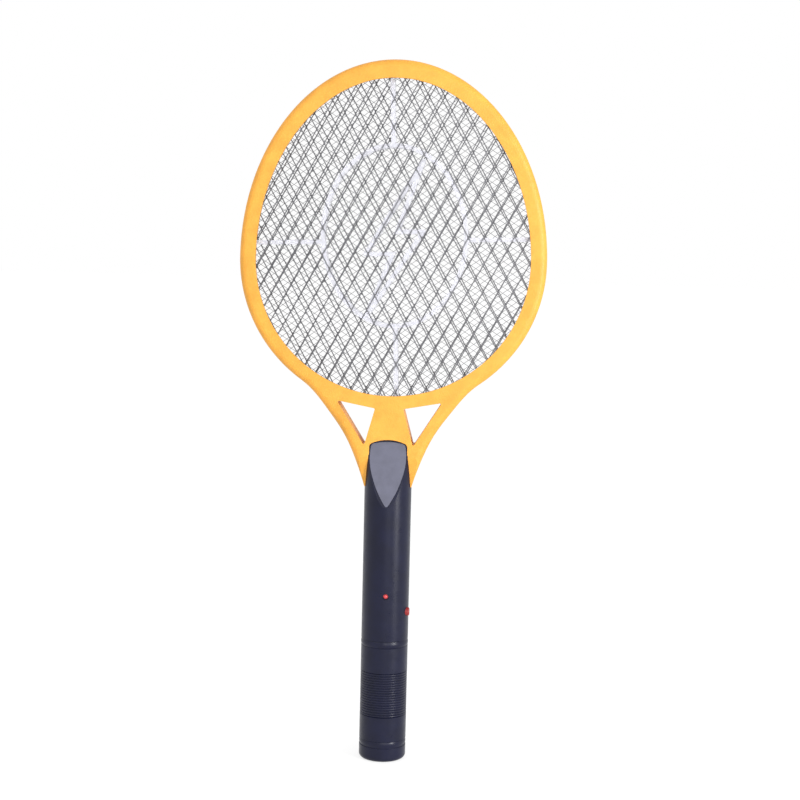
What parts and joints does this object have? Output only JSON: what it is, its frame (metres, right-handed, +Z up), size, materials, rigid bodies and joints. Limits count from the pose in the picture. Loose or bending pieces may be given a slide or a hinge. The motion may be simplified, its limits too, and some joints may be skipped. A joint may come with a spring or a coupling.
{
  "type": "electric fly swatter",
  "caption": "Racket-shaped electric fly swatter: egg-shaped gridded head on a round handle with a push button and a pull-off battery sleeve.",
  "frame": {"origin": "middle of the base of the tail, on the handle axis", "axes": "+Z up the handle to the top of the head, -Y out of the front with the badge and the light, +X towards the push button"},
  "size_m": [0.2032, 0.0318, 0.4676],
  "materials": {
    "frame_plastic": "fine leather grain, semi-matt",
    "handle_plastic": "satin moulded",
    "badge_plastic": "satin",
    "spacer_plastic": "translucent satin",
    "grid_metal": "satin",
    "fine_grid_metal": "satin",
    "red_lens": "clear gloss",
    "red_button": "gloss",
    "switch_plastic": "moulded",
    "white_plastic": "moulded",
    "board": "phenolic board, brown-tan",
    "ferrite": "sintered, matt",
    "copper_wire": "enamelled",
    "film_capacitor": "dipped",
    "disc_ceramic": "dipped",
    "component_body": "moulded",
    "resistor_body": "lacquered",
    "tinned_wire": "bright",
    "screw_steel": "zinc plated",
    "spring_steel": "bright",
    "contact_steel": "nickel plated",
    "cell_can": "printed film, blank",
    "lead_red": "PVC",
    "lead_black": "PVC",
    "lead_white": "PVC"
  },
  "bodies": {
    "racket": {"frame_front": "frame_plastic", "frame_rear": "frame_plastic", "grid_front": "grid_metal", "grid_rear": "grid_metal", "grid_centre": "fine_grid_metal", "spacer_front": "spacer_plastic", "spacer_rear": "spacer_plastic", "handle_front": "handle_plastic", "handle_rear": "handle_plastic", "badge_plate": "badge_plastic", "handle_screws": "screw_steel", "indicator_led": "red_lens", "led_leads": "tinned_wire", "switch_body": "switch_plastic", "button_spring": "spring_steel", "circuit_board": "board", "transformer_core": "ferrite", "transformer_bobbin": "white_plastic", "transformer_winding": "copper_wire", "hv_capacitor": "film_capacitor", "disc_capacitors": "disc_ceramic", "resistors": "resistor_body", "rectifier_diodes": "component_body", "transistor": "component_body", "battery_left": "cell_can", "battery_right": "cell_can", "battery_tray": "switch_plastic", "contact_positive": "contact_steel", "contact_negative": "contact_steel", "battery_link": "contact_steel", "lead_grid_centre": "lead_red", "lead_grid_outer": "lead_white", "lead_battery_positive": "lead_red", "lead_battery_negative": "lead_black"},
    "sleeve": {"battery_sleeve": "handle_plastic", "tail_cap": "handle_plastic"},
    "button": {"push_button": "red_button", "switch_plunger": "white_plastic"}
  },
  "joints": [
    {"name": "sleeve_slide", "type": "slide", "parent": "racket", "child": "sleeve", "axis": [0, 0, -1], "range_m": [0, 0.07]},
    {"name": "button_press", "type": "slide", "parent": "racket", "child": "button", "axis": [-1, 0, 0], "range_m": [0, 0.0012], "stiffness_N_per_m": 1500, "springref_m": -0.0004, "deforming": ["button_spring"]}
  ]
}
